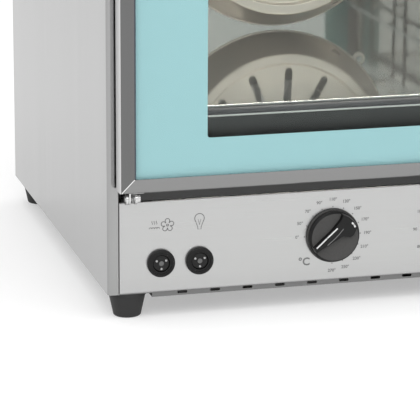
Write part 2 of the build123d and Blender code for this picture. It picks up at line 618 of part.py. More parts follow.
LAMP_GLASS_IN = LAMP_GLASS_R - LAMP_GLASS_WALL
LAMP_SECTION = Plane(origin=(LAMP_X, WALL - LAMP_GLASS_WALL, LAMP_Z), x_dir=(1, 0, 0), z_dir=(0, 0, 1))
with BuildPart() as lamp_glass:
    with BuildSketch(LAMP_SECTION):
        with BuildLine():
            Polyline((LAMP_GLASS_IN, 0), (LAMP_GLASS_R, 0), (LAMP_GLASS_R, -LAMP_GLASS_SKIRT))
            CenterArc((0, -LAMP_GLASS_SKIRT), LAMP_GLASS_R, 270, 90)
            Line((0, -LAMP_GLASS_SKIRT - LAMP_GLASS_R), (0, -LAMP_GLASS_SKIRT - LAMP_GLASS_IN))
            CenterArc((0, -LAMP_GLASS_SKIRT), LAMP_GLASS_IN, 270, 90)
            Line((LAMP_GLASS_IN, -LAMP_GLASS_SKIRT), (LAMP_GLASS_IN, 0))
        make_face()
    revolve(axis=Axis(origin=(LAMP_X, 0, LAMP_Z), direction=(0, 1, 0)))
save(lamp_glass, "lamp_glass")

with BuildPart() as lamp_bulb:
    rod_y(LAMP_X, LAMP_Z, 9, WALL - 14, WALL + 12)
    fillet(lamp_bulb.edges().group_by(Axis.Y)[0], radius=8)
    rod_y(LAMP_X, LAMP_Z, 7, WALL + 12, WALL + WOOL)
save(lamp_bulb, "lamp_bulb")

# Steam vent from the back wall to the outside, and the gland for the mains lead
VENT_END = BACK + REAR_STANDOFF
with BuildPart() as steam_vent:
    rod_y(VENT_X, VENT_Z, VENT_R, WALL - CUT, VENT_END)
    rod_y(VENT_X, VENT_Z, VENT_R + 8, BACK + SHEET, BACK + SHEET + 1.5)
    rod_y(VENT_X, VENT_Z, VENT_R - VENT_WALL, WALL - 2 * CUT, VENT_END + CUT, Mode.SUBTRACT)
save(steam_vent, "steam_vent")

GLAND_HEX_BACK = BACK + SHEET + 6
GLAND_END = VENT_END - 1
with BuildPart() as cable_gland:
    rod_y(GLAND_X, GLAND_Z, GLAND_THREAD_R, BACK - 12, BACK + SHEET)
    with BuildSketch(facing(GLAND_HEX_BACK, GLAND_X, GLAND_Z)):
        RegularPolygon(13, 6)
    extrude(amount=6)
    rod_y(GLAND_X, GLAND_Z, 11, GLAND_HEX_BACK, GLAND_END)
    fillet(cable_gland.edges().group_by(Axis.Y)[-1], radius=4)
    rod_y(GLAND_X, GLAND_Z, GLAND_BORE_R, BACK - 13, GLAND_END + CUT, Mode.SUBTRACT)
save(cable_gland, "cable_gland")


def make_control_body(label, x, width, height, depth):
    """Thermostat or timer behind the panel, with a bush that comes through it."""
    plate_back = FRONT + SHEET + 4
    with BuildPart() as control:
        slab(x - width / 2, x + width / 2, plate_back, plate_back + depth,
             CONTROL_Z - height / 2, CONTROL_Z + height / 2)
        fillet(control.edges().filter_by(Axis.Y), radius=3)
        slab(x - 9, x + 9, FRONT + SHEET, plate_back, CONTROL_Z - 22, CONTROL_Z + 22)
        rod_y(x, CONTROL_Z, BUSH_R, FRONT - 0.8, FRONT + SHEET)
        rod_y(x, CONTROL_Z, SPINDLE_R + RUNNING_FIT, FRONT - 2, FRONT + 16, Mode.SUBTRACT)
    save(control, label)


def make_spindle(label, x):
    """Round spindle from the control body into the knob."""
    with BuildPart() as spindle:
        rod_y(x, CONTROL_Z, SPINDLE_R, SPINDLE_END, FRONT + 15)
    save(spindle, label)


# Foot of the knob's grip as (along, across) the pointer. It lies to one side of the knob's middle,
# with a narrow tail, and its head broadens out past the drum's edge, where it is cut round
GRIP_OUTLINE = [(-30, 7.2), (0, 10.2), (15, 13.9), (24, 19.5), (34, 8), (27, -6),
                (17.5, -11.2), (12.5, -10.6), (6, -4.4), (-30, -0.5)]


def make_knob(label, x, pointer_deg):
    """Hollow knob: a wide skirt, a drum with a bevelled face, and a grip that broadens to a pointer head."""
    grip_foot = KNOB_FACE + 2
    with BuildPart() as knob:
        rod_y(x, CONTROL_Z, KNOB_SKIRT_R, KNOB_SKIRT_FACE, KNOB_BACK)
        fillet(knob.edges().group_by(Axis.Y)[0], radius=1)
        rod_y(x, CONTROL_Z, KNOB_DRUM_R, KNOB_FACE, KNOB_SKIRT_FACE)
        chamfer(knob.edges().group_by(Axis.Y)[0], length=KNOB_BEVEL)
        with BuildSketch(facing(grip_foot, x, CONTROL_Z, pointer_deg)):
            Polygon(*GRIP_OUTLINE, align=None)
            Circle(GRIP_REACH, mode=Mode.INTERSECT)
        extrude(amount=grip_foot - GRIP_FACE, taper=GRIP_TAPER)
        fillet(knob.edges().group_by(Axis.Y)[0], radius=0.7)
        rod_y(x, CONTROL_Z, KNOB_SKIRT_R - KNOB_WALL, KNOB_SKIRT_FACE + 1, KNOB_BACK + CUT, Mode.SUBTRACT)
        rod_y(x, CONTROL_Z, KNOB_DRUM_R - KNOB_WALL, KNOB_FACE + 3.2, KNOB_BACK + CUT, Mode.SUBTRACT)
        rod_y(x, CONTROL_Z, SPINDLE_R + 3.5, KNOB_FACE + 2, KNOB_BACK - 0.3)
        rod_y(x, CONTROL_Z, SPINDLE_R, SPINDLE_END, KNOB_BACK + CUT, Mode.SUBTRACT)
    save(knob, label)


# Thermostat and timer, each with its spindle and knob
make_control_body("thermostat_body", THERMOSTAT_X, 40, 36, 34)
make_control_body("timer_body", TIMER_X, 46, 46, 38)
make_spindle("thermostat_spindle", THERMOSTAT_X)
make_spindle("timer_spindle", TIMER_X)
make_knob("thermostat_knob", THERMOSTAT_X, KNOB_POINTER_DEG)
make_knob("timer_knob", TIMER_X, TIMER_POINTER_DEG)

# Push buttons: switch bodies with ring bezels, caps that travel inwards, and nuts behind the panel
for button_name, button_x in BUTTON_XS.items():
    with BuildPart() as switch_body:
        rod_y(button_x, BUTTON_Z, BEZEL_R, BEZEL_FACE, FRONT)
        fillet(switch_body.edges().group_by(Axis.Y)[0], radius=1.8)
        rod_y(button_x, BUTTON_Z, BARREL_R, FRONT, FRONT + 30)
        rod_y(button_x, BUTTON_Z, CAP_R + LOOSE_FIT, BEZEL_FACE - CUT, FRONT + 16, Mode.SUBTRACT)
        rod_y(button_x, BUTTON_Z, BEZEL_LIP_R, BEZEL_FACE - CUT, BEZEL_FACE + 0.8, Mode.SUBTRACT)
    save(switch_body, f"{button_name}_switch_body")
    with BuildPart() as button_cap:
        rod_y(button_x, BUTTON_Z, CAP_R, CAP_FACE, FRONT + 10)
        fillet(button_cap.edges().group_by(Axis.Y)[0], radius=1)
        with BuildSketch(facing(CAP_FACE + 0.2, button_x, BUTTON_Z)):
            Circle(2.6)
            with PolarLocations(5.9, 3, start_angle=30):
                Circle(1.15)
        extrude(amount=1)
    save(button_cap, f"{button_name}_button")

with BuildPart() as switch_nuts:
    for button_x in BUTTON_XS.values():
        with BuildSketch(facing(FRONT + SHEET, button_x, BUTTON_Z)):
            RegularPolygon(16, 6)
            Circle(BARREL_R, mode=Mode.SUBTRACT)
        extrude(amount=-4)
save(switch_nuts, "switch_nuts")

# Indicator lamps: domed lenses on barrels through the panel
for lamp_name, lamp_x in LAMP_XS.items():
    with BuildPart() as indicator:
        rod_y(lamp_x, CONTROL_Z, LAMP_LENS_R, FRONT - 3.2, FRONT)
        fillet(indicator.edges().group_by(Axis.Y)[0], radius=2.6)
        rod_y(lamp_x, CONTROL_Z, LAMP_BARREL_R, FRONT, FRONT + 18)
    save(indicator, lamp_name)

# Door frame: four channel-section bars, mitred at the corners
DOOR_CORNERS = [(-DOOR_HALF, DOOR_BOTTOM), (DOOR_HALF, DOOR_BOTTOM),
                (DOOR_HALF, DOOR_TOP), (-DOOR_HALF, DOOR_TOP)]
DOOR_BARS = ("door_bottom_rail", "door_right_stile", "door_top_rail", "door_left_stile")


def mitred_outline(index):
    """Corners of one bar's area: its two outer corners and the two on the mitre lines, in order."""
    (x0, z0), (x1, z1) = DOOR_CORNERS[index], DOOR_CORNERS[(index + 1) % 4]
    along_x, along_z = (x1 > x0) - (x1 < x0), (z1 > z0) - (z1 < z0)
    in_x, in_z = -along_z, along_x
    near = (x0 + along_x * MITRE_GAP, z0 + along_z * MITRE_GAP)
    far = (x1 - along_x * MITRE_GAP, z1 - along_z * MITRE_GAP)
    far_in = (far[0] + MITRE * (in_x - along_x), far[1] + MITRE * (in_z - along_z))
    near_in = (near[0] + MITRE * (in_x + along_x), near[1] + MITRE * (in_z + along_z))
    return [near, far, far_in, near_in]


DOOR_CUTS = ((DOOR_FACE, DOOR_FRONT - CUT, DOOR_FRONT + 5),
             (DOOR_BACK_RETURN, DOOR_BACK - 5, DOOR_BACK + CUT))
for bar_index, bar_name in enumerate(DOOR_BARS):
    with BuildPart() as door_bar:
        slab(-DOOR_HALF, DOOR_HALF, DOOR_FRONT, DOOR_BACK, DOOR_BOTTOM, DOOR_TOP)
        fillet(door_bar.faces().sort_by(Axis.Y)[0].edges(), radius=DOOR_BEND)
        offset(amount=-DOOR_WALL, mode=Mode.SUBTRACT)
        for rim, cut_low, cut_high in DOOR_CUTS:
            slab(rim - DOOR_HALF, DOOR_HALF - rim, cut_low, cut_high,
                 DOOR_BOTTOM + rim, DOOR_TOP - rim, Mode.SUBTRACT)
        with BuildSketch(facing(DOOR_BACK + CUT)):
            Polygon(*mitred_outline(bar_index), align=None)
        extrude(amount=DOOR_BACK - DOOR_FRONT + 2 * CUT, mode=Mode.INTERSECT)
    save(door_bar, bar_name)

# Door glasses and the frame that holds the inner one
PANE_HALF = DOOR_HALF - DOOR_WALL - GLASS_GAP
PANE_LOW = DOOR_BOTTOM + DOOR_WALL + GLASS_GAP
PANE_HIGH = DOOR_TOP - DOOR_WALL - GLASS_GAP
INNER_FRAME_FRONT = INNER_FRAME_BACK - SHEET
with BuildPart() as door_glass:
    slab(-PANE_HALF, PANE_HALF, GLASS_FRONT, GLASS_BACK, PANE_LOW, PANE_HIGH)
    for post_x in (-HANDLE_POST_X, HANDLE_POST_X):
        rod_y(post_x, HANDLE_Z, STUD_R, GLASS_FRONT - CUT, GLASS_BACK + CUT, Mode.SUBTRACT)
save(door_glass, "door_glass")

with BuildPart() as door_inner_frame:
    slab(-PANE_HALF, PANE_HALF, INNER_FRAME_FRONT, INNER_FRAME_BACK, PANE_LOW, PANE_HIGH)
    slab(-WINDOW_HALF, WINDOW_HALF, INNER_FRAME_FRONT - CUT, INNER_FRAME_BACK + CUT,
         WINDOW_LOW, WINDOW_HIGH, Mode.SUBTRACT)
save(door_inner_frame, "door_inner_frame")

with BuildPart() as door_inner_glass:
    slab(-WINDOW_HALF - 15, WINDOW_HALF + 15, INNER_FRAME_FRONT - GLASS, INNER_FRAME_FRONT,
         WINDOW_LOW - 12, WINDOW_HIGH + 5)
save(door_inner_glass, "door_inner_glass")

# Door handle: round bar on two posts, whose studs pass through the glass
with BuildPart() as door_handle:
    rod_x(HANDLE_Y, HANDLE_Z, HANDLE_R, -HANDLE_HALF, HANDLE_HALF)
    fillet(door_handle.edges().filter_by(GeomType.CIRCLE), radius=4)
save(door_handle, "door_handle")

with BuildPart() as handle_posts:
    for post_x in (-HANDLE_POST_X, HANDLE_POST_X):
        rod_y(post_x, HANDLE_Z, HANDLE_POST_R, HANDLE_Y, GLASS_FRONT)
        rod_y(post_x, HANDLE_Z, HANDLE_COLLAR_R, GLASS_FRONT - 3, GLASS_FRONT)
        rod_y(post_x, HANDLE_Z, STUD_R, GLASS_FRONT, GLASS_BACK + 4)
        with BuildSketch(facing(GLASS_BACK, post_x, HANDLE_Z)):
            RegularPolygon(7.5, 6)
        extrude(amount=-3)
    rod_x(HANDLE_Y, HANDLE_Z, HANDLE_R, -HANDLE_HALF, HANDLE_HALF, Mode.SUBTRACT)
save(handle_posts, "handle_posts")

# Hinges: brackets with two ears on the body, door tabs, pins and springs
for side_name, side in SIDES.items():
    with BuildPart() as hinge_bracket:
        for ear_near in (EAR_IN, EAR_OUT - EAR_THICK):
            ear_low, ear_high = one_side(side, ear_near, ear_near + EAR_THICK)
            reach = BRACKET_Y + EAR_THICK - HINGE_Y
            with BuildSketch(across(ear_low, HINGE_Y, HINGE_Z)):
                Circle(HINGE_EAR_R)
                with Locations((reach / 2, 0)):
                    Rectangle(reach, 2 * HINGE_EAR_R)
            extrude(amount=ear_high - ear_low)
        web_low, web_high = one_side(side, EAR_IN, EAR_OUT)
        slab(web_low, web_high, BRACKET_Y, BRACKET_Y + EAR_THICK,
             HINGE_Z - HINGE_EAR_R, HINGE_Z + BRACKET_RISE)
        rod_x(HINGE_Y, HINGE_Z, HINGE_PIN_R, web_low - CUT, web_high + CUT, Mode.SUBTRACT)
    save(hinge_bracket, f"hinge_bracket_{side_name}")

with BuildPart() as hinge_pins:
    for side in SIDES.values():
        rod_x(HINGE_Y, HINGE_Z, HINGE_PIN_R, *one_side(side, EAR_IN - 2, EAR_OUT + 0.8))
        rod_x(HINGE_Y, HINGE_Z, HINGE_HEAD_R, *one_side(side, EAR_IN - 3.5, EAR_IN))
save(hinge_pins, "hinge_pins")

with BuildPart() as hinge_tabs:
    for side in SIDES.values():
        tab_low, tab_high = one_side(side, TAB_OUT, TAB_OUT - TAB_THICK)
        rod_x(HINGE_Y, HINGE_Z, HINGE_EAR_R, tab_low, tab_high)
        slab(tab_low, tab_high, HINGE_Y - HINGE_EAR_R, HINGE_Y + HINGE_EAR_R, HINGE_Z, DOOR_BOTTOM)
        foot_low, foot_high = one_side(side, TAB_OUT, TAB_OUT - TAB_FOOT)
        slab(foot_low, foot_high, HINGE_Y - HINGE_EAR_R, HINGE_Y + HINGE_EAR_R,
             DOOR_BOTTOM - SHEET, DOOR_BOTTOM)
        rod_x(HINGE_Y, HINGE_Z, HINGE_PIN_R + RUNNING_FIT, tab_low - CUT, tab_high + CUT, Mode.SUBTRACT)
save(hinge_tabs, "hinge_tabs")

POINTS_A_TURN = 24
for side_name, side in SIDES.items():
    with BuildPart() as hinge_spring:
        with BuildLine() as coil:
            Helix(pitch=SPRING_PITCH, height=SPRING_PITCH * SPRING_TURNS, radius=SPRING_R,
                  center=(side * SPRING_START, HINGE_Y, HINGE_Z), direction=(side, 0, 0))
        with BuildSketch(Plane(origin=coil.line @ 0, z_dir=coil.line % 0)):
            Circle(SPRING_WIRE_R)
        sweep(path=coil.line, is_frenet=True)
    save(hinge_spring, f"hinge_spring_{side_name}")
    steps = SPRING_TURNS * POINTS_A_TURN
    wire = [coil.line @ (index / steps) for index in range(steps + 1)]
    nearest = min((wire[later] - wire[index]).length for index in range(steps + 1)
                  for later in range(index + POINTS_A_TURN // 2, steps + 1))
    print(f"hinge_spring_{side_name}: least gap between turns {nearest - 2 * SPRING_WIRE_R:.2f} mm")

# Side supports: upright wires with rails for the racks, anchored in the cavity's side walls
for side_name, side in SIDES.items():
    with BuildPart() as rack_support:
        for level in RACK_LEVELS:
            rod_y(side * RACK_SIDE_X, CAVITY_FLOOR + level, RAIL_R, RACK_FRONT - 2, RACK_BACK)
            for upright_y in UPRIGHT_YS:
                rod_x(upright_y, CAVITY_FLOOR + level, STUB_R, *one_side(side, RACK_SIDE_X, UPRIGHT_X))
        for upright_y in UPRIGHT_YS:
            upright_place = (side * UPRIGHT_X, upright_y)
            rod_z(*upright_place, RAIL_R + RUNNING_FIT, SUPPORT_LOW, SUPPORT_HIGH, Mode.SUBTRACT)
            rod_z(*upright_place, RAIL_R, SUPPORT_LOW, SUPPORT_HIGH)
            for anchor_z in (SUPPORT_LOW + ANCHOR_INSET, SUPPORT_HIGH - ANCHOR_INSET):
                rod_x(upright_y, anchor_z, STUB_R, *one_side(side, UPRIGHT_X, CAVITY_HALF))
    save(rack_support, f"rack_support_{side_name}")

# Wire racks: a rod round the edge and across the middle, with thin wires from front to back
WIRE_GAP = 2 * RACK_SIDE_X / (RACK_WIRES + 1)
for rack_name, level in FITTED_RACKS.items():
    rack_z = CAVITY_FLOOR + level + RAIL_R + RACK_ROD_R + LOOSE_FIT
    wire_z = rack_z + RACK_ROD_R - RACK_WIRE_R / 2
    with BuildPart() as wire_rack:
        for side_x in (-RACK_SIDE_X, RACK_SIDE_X):
            rod_y(side_x, rack_z, RACK_ROD_R, RACK_FRONT, RACK_BACK)
            for corner_y in (RACK_FRONT, RACK_BACK):
                with Locations((side_x, corner_y, rack_z)):
                    Sphere(RACK_ROD_R)
        for cross_y in (RACK_FRONT, (RACK_FRONT + RACK_BACK) / 2, RACK_BACK):
            rod_x(cross_y, rack_z, RACK_ROD_R, -RACK_SIDE_X, RACK_SIDE_X)
        for index in range(RACK_WIRES):
            wire_x = WIRE_GAP * (index + 1) - RACK_SIDE_X
            rod_y(wire_x, wire_z, RACK_WIRE_R, RACK_FRONT, RACK_BACK)
    save(wire_rack, rack_name)
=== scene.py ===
"""Looks of a countertop convection oven: satin and polished steel, a printed glass door, plastics and rubber.

Metres, +Z up, front towards -Y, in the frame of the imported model.
"""
from math import cos, pi, radians, sin
import json

import bmesh
import bpy
from mathutils import Matrix, Vector


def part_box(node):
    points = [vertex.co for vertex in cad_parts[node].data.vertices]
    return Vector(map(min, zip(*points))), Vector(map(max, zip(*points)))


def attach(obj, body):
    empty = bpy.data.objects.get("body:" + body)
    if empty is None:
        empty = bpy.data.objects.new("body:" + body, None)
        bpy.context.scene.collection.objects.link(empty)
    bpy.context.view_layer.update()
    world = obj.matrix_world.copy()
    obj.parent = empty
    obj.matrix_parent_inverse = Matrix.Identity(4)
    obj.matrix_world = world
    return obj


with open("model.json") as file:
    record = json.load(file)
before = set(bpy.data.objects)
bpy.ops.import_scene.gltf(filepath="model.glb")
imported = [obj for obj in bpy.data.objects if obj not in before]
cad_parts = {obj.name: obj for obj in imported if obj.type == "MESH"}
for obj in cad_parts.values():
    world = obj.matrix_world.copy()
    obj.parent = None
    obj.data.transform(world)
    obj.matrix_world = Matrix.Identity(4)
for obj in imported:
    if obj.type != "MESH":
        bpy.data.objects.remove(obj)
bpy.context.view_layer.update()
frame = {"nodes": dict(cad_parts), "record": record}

MM = 0.001

# Camera, solved from the straight edges in the picture
PICTURE_WIDTH = 420
FOCAL_PIXELS = 2456
SENSOR_MM = 36
CAMERA_PLACE = Vector((-0.8342, -2.6562, 0.7892))
CAMERA_YAW = radians(15.0)
CAMERA_PITCH = radians(15.07)
CAMERA_ROLL = radians(-0.267)

# Printed border of the door glass: the clear window's edges
WINDOW_HALF = 195 * MM
WINDOW_LOW = 198.9 * MM
WINDOW_HIGH = 486.7 * MM
WINDOW_CORNER = 3 * MM
PRINT_THICKNESS = 0.2 * MM

# Marks on the control panel, in the panel's x and z
MARK_THICKNESS = 0.08 * MM
LINE = 0.75 * MM
FAN_MARK = Vector((-233.0, 102.3)) * MM
BULB_MARK = Vector((-198.2, 104.4)) * MM
DEGREE_MARK = Vector((-82.2, 51.1)) * MM
SCALE_RADIUS = 39.5 * MM
TICK_RADIUS = 31.4 * MM
THERMOSTAT_SCALE = [0, 50, 70, 90, 110, 130, 150, 170, 190, 210, 230, 250, 270]
TIMER_SCALE = [0, 10, 20, 30, 40, 50, 60, 70, 80, 90, 100]

# Door frame: front face, folded side, beads along the mitres and seals beside the glass
FACE_WIDTH = 15 * MM
STILE_FOLD = 0.8 * MM
BEAD_IN = 1.2 * MM
BEAD_DEPTH = 0.3 * MM
BEAD_WIDTH = 0.9 * MM
SEAL_WIDTH = 1.8 * MM
SEAL_PROUD = 0.5 * MM
SEAL_ROUND = 0.2 * MM
FILM = 0.02 * MM

# Knobs: depths behind the grip's front where the grip ends, and where the drum's wall starts and ends; the
# wall is painted black as shade
GRIP_END = 4.2 * MM
WALL_START = 4.8 * MM
WALL_END = 10.6 * MM

# Push buttons: nub in the middle, and three dots on a circle, whose pale grey is a painted highlight
NUB_RADIUS = 2.6 * MM
DOT_RADIUS = 1.15 * MM
DOT_CIRCLE = 5.9 * MM


def middle(node):
    """Middle of a CAD node's box."""
    low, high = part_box(node)
    return (low + high) / 2


class Signal:
    """Output socket of a node. Arithmetic on it adds Math nodes."""

    def __init__(self, graph, socket):
        self.graph = graph
        self.socket = socket

    def math(self, operation, *values):
        return self.graph.node("ShaderNodeMath", {"operation": operation}, values)

    def __add__(self, other):
        return self.math("ADD", self, other)

    def __sub__(self, other):
        return self.math("SUBTRACT", self, other)

    def __rsub__(self, other):
        return self.math("SUBTRACT", other, self)

    def __mul__(self, other):
        return self.math("MULTIPLY", self, other)

    def __lt__(self, other):
        return self.math("LESS_THAN", self, other)

    def __gt__(self, other):
        return self.math("GREATER_THAN", self, other)

    def __abs__(self):
        return self.math("ABSOLUTE", self)

    def __or__(self, other):
        return self.math("MAXIMUM", self, other)

    __radd__ = __add__
    __rmul__ = __mul__
    __ror__ = __or__


class Graph:
    """Node tree of a material or a world. One method adds its nodes."""

    def __init__(self, owner, output_kind):
        owner.use_nodes = True
        self.owner = owner
        self.tree = owner.node_tree
        self.tree.nodes.clear()
        self.output = self.tree.nodes.new(output_kind)

    def node(self, kind, settings, sockets, output=0):
        """Add a node with its settings, fill its sockets, and give back one of its outputs."""
        made = self.tree.nodes.new(kind)
        for name, value in settings.items():
            setattr(made, name, value)
        named = sockets.items() if isinstance(sockets, dict) else enumerate(sockets)
        for key, value in named:
            if isinstance(value, Signal):
                self.tree.links.new(value.socket, made.inputs[key])
            else:
                made.inputs[key].default_value = value
        return Signal(self, made.outputs[output])

    def show(self, shader):
        """Wire a shader to the output and give back the material or world."""
        self.tree.links.new(shader.socket, self.output.inputs["Surface"])
        return self.owner

    def place(self):
        """Place on the object, in metres."""
        return self.node("ShaderNodeTexCoord", {}, {}, "Object")

    def axis(self, name):
        """One coordinate of the place."""
        return self.node("ShaderNodeSeparateXYZ", {}, [self.place()], name)

    def noise(self, stretch, detail=2.0):
        """Noise from 0 to 1, with this many features to a metre along x, y and z."""
        spread = self.node("ShaderNodeMapping", {}, {"Vector": self.place(), "Scale": stretch})
        return self.node("ShaderNodeTexNoise", {}, {"Vector": spread, "Scale": 1.0, "Detail": detail})

    def blend(self, factor, first, second):
        """Mix of two colours."""
        return self.node("ShaderNodeMix", {"data_type": "RGBA"}, {0: factor, 6: first, 7: second}, 2)

    def bump(self, height, distance, strength=1.0):
        """Normal of a bumpy surface."""
        return self.node("ShaderNodeBump", {}, {"Height": height, "Distance": distance, "Strength": strength})

    def principled(self, **sockets):
        """Principled shader, with socket names in lower case joined by underscores."""
        named = {}
        for key, value in sockets.items():
            named[key.replace("_", " ").title().replace("Ior", "IOR")] = value
        return self.node("ShaderNodeBsdfPrincipled", {}, named)

    def rays(self, *kinds):
        """1 for these kinds of ray, and 0 for the rest."""
        first, *others = [self.node("ShaderNodeLightPath", {}, {}, f"Is {kind} Ray") for kind in kinds]
        for other in others:
            first = first | other
        return first


def surface(name):
    """Empty graph of a new material."""
    return Graph(bpy.data.materials.new(name), "ShaderNodeOutputMaterial")


def grey(value, warmth=0.0):
    """Neutral colour, with a little more red and less blue where warmth is above 0."""
    return (value * (1 + warmth), value, value * (1 - warmth), 1)


def scaled(colour, factor):
    """Colour made brighter or darker."""
    return (*[channel * factor for channel in colour[:3]], 1)


def sheet_steel(name, shade, grain, roughness, streak=0.05):
    """Brushed stainless sheet. Its grain runs along the axis with the smallest number in grain."""
    graph = surface(name)
    fine = graph.noise(grain, detail=3.0)
    broad = graph.noise([number / 12 for number in grain], detail=2.0)
    colour = graph.blend(fine * 0.4 + broad * 0.6, grey(shade * (1 - streak)), grey(shade * (1 + streak)))
    rough = (fine - 0.5) * 0.12 + roughness
    return graph.show(graph.principled(base_color=colour, metallic=1.0, roughness=rough,
                                       normal=graph.bump(fine, 0.00002, 0.35)))


def stile_steel_painted_light(name, shade, painted_lit_side_shade, roughness, edge_roughness):
    """Door upright with painted light: a polished front face, darker than the rails as a painted dark
    reflection, and satin sides where the sheet is bent back, paler as a painted highlight.
    """
    graph = surface(name)
    fine = graph.noise([900.0, 6.0, 6.0], detail=3.0)
    broad = graph.noise([75.0, 0.5, 0.5], detail=2.0)
    # Folded sides get a paler tone: painted light, where the side faces the lamps.
    side = abs(graph.axis("X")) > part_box("door_right_stile")[1].x - STILE_FOLD
    colour = graph.blend(fine * 0.4 + broad * 0.6, grey(shade * 0.95), grey(shade * 1.05))
    tone = graph.blend(side, colour, grey(painted_lit_side_shade))
    rough = (fine - 0.5) * 0.08 + roughness + side * (edge_roughness - roughness)
    return graph.show(graph.principled(base_color=tone, metallic=1.0, roughness=rough,
                                       normal=graph.bump(fine, 0.00002, 0.35)))


def bright_metal(name, shade, roughness, warmth=0.0, spots=40.0, worn=0.04, metallic=1.0):
    """Polished or plated metal with faint clouding."""
    graph = surface(name)
    cloud = graph.noise([spots] * 3, detail=4.0)
    colour = graph.blend(cloud, grey(shade * (1 - worn), warmth), grey(shade * (1 + worn), warmth))
    rough = (cloud - 0.5) * roughness * 0.5 + roughness
    return graph.show(graph.principled(base_color=colour, metallic=metallic, roughness=rough))


def skinned(graph, tone, roughness, pores, depth, shine=0.5):
    """Plastic or rubber of this tone with a fine moulded skin."""
    skin = graph.noise([pores] * 3, detail=3.0)
    return graph.show(graph.principled(base_color=tone, roughness=roughness, specular_ior_level=shine,
                                       normal=graph.bump(skin, depth, 0.6)))


def moulding(name, colour, roughness, pores=900.0, depth=0.00003, shine=0.5):
    """Moulded plastic or rubber of one colour, slightly clouded."""
    graph = surface(name)
    cloud = graph.noise([35.0] * 3, detail=2.0)
    tone = graph.blend(cloud, scaled(colour, 0.86), scaled(colour, 1.14))
    return skinned(graph, tone, (cloud - 0.5) * 0.12 + roughness, pores, depth, shine)


def knob_plastic(name):
    """Dark grey skirt and face, with black on the grip, and painted shade in black on the drum's wall and
    bevel between them.
    """
    graph = surface(name)
    depth = graph.axis("Y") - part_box("thermostat_knob")[0].y
    grip = depth < GRIP_END
    # Drum's wall and bevel: the black here is painted shade.
    wall = (depth > WALL_START) * (depth < WALL_END)
    cloud = graph.noise([35.0] * 3, detail=2.0)
    flecks = graph.noise([420.0] * 3, detail=4.0)
    satin = graph.blend(cloud * 0.5 + flecks * 0.5, grey(0.035, 0.02), grey(0.085, 0.02))
    tone = graph.blend(grip | wall, satin, grey(0.006))
    return skinned(graph, tone, (cloud - 0.5) * 0.1 + 0.46 - grip * 0.14, 900.0, 0.00003, 0.25)


def button_plastic(name):
    """Black cap with a grey nub in its middle and three pale dots round it, whose pale grey is a painted
    highlight. Both buttons share it.
    """
    graph = surface(name)
    fan, light = middle("fan_button"), middle("light_button")
    x = abs(abs(graph.axis("X") - (fan.x + light.x) / 2) - (light.x - fan.x) / 2)
    z = graph.axis("Z") - fan.z

    def spot(across, up, radius):
        aside, above = x - across, z - up
        return aside * aside + above * above < radius * radius

    nub = spot(0.0, 0.0, NUB_RADIUS)
    side_highlight_dots = spot(DOT_CIRCLE * cos(pi / 6), DOT_CIRCLE * sin(pi / 6), DOT_RADIUS)
    dots = side_highlight_dots | spot(0.0, -DOT_CIRCLE, DOT_RADIUS)
    cloud = graph.noise([120.0] * 3, detail=2.0)
    cap = graph.blend(cloud, grey(0.012), grey(0.018))
    # Pale grey on the three dots: painted highlight.
    tone = graph.blend(dots, graph.blend(nub, cap, grey(0.14)), grey(0.42))
    return skinned(graph, tone, cloud * 0.08 + 0.28, 900.0, 0.00002, 0.2)


def clear_glass(name, tint, straight_on):
    """Clear pane that mirrors this much straight on and more at a glance, alike from both sides."""
    graph = surface(name)
    smear = graph.noise([9.0, 9.0, 9.0], detail=3.0)
    mirror = graph.principled(base_color=grey(0.95), metallic=1.0, roughness=smear * 0.02 + 0.01)
    through = graph.node("ShaderNodeBsdfTransparent", {}, {"Color": tint})
    glance = graph.node("ShaderNodeLayerWeight", {}, {"Blend": 0.5}, "Facing")
    edge = glance.math("POWER", glance, 5.0) * (1 - straight_on) + straight_on
    return graph.show(graph.node("ShaderNodeMixShader", {}, {0: edge, 1: through, 2: mirror}))


def fibre_blanket(name):
    """Loose mineral wool."""
    graph = surface(name)
    tuft = graph.noise([220.0, 220.0, 60.0], detail=6.0)
    colour = graph.blend(tuft, (0.52, 0.45, 0.26, 1), (0.83, 0.78, 0.6, 1))
    return graph.show(graph.principled(base_color=colour, roughness=0.95,
                                       normal=graph.bump(tuft, 0.002, 0.8)))


def lens(name, colour):
    """Glossy coloured lens of an indicator lamp, slightly clouded."""
    graph = surface(name)
    cloud = graph.noise([600.0] * 3, detail=1.0)
    tone = graph.blend(cloud, scaled(colour, 0.8), scaled(colour, 1.15))
    return graph.show(graph.principled(base_color=tone, roughness=0.16, coat_weight=0.5))


def printed(name, colour, roughness=0.4):
    """Even printed enamel with a trace of mottling."""
    graph = surface(name)
    cloud = graph.noise([14.0] * 3, detail=3.0)
    tone = graph.blend(cloud, scaled(colour, 0.985), scaled(colour, 1.015))
    return graph.show(graph.principled(base_color=tone, roughness=roughness))


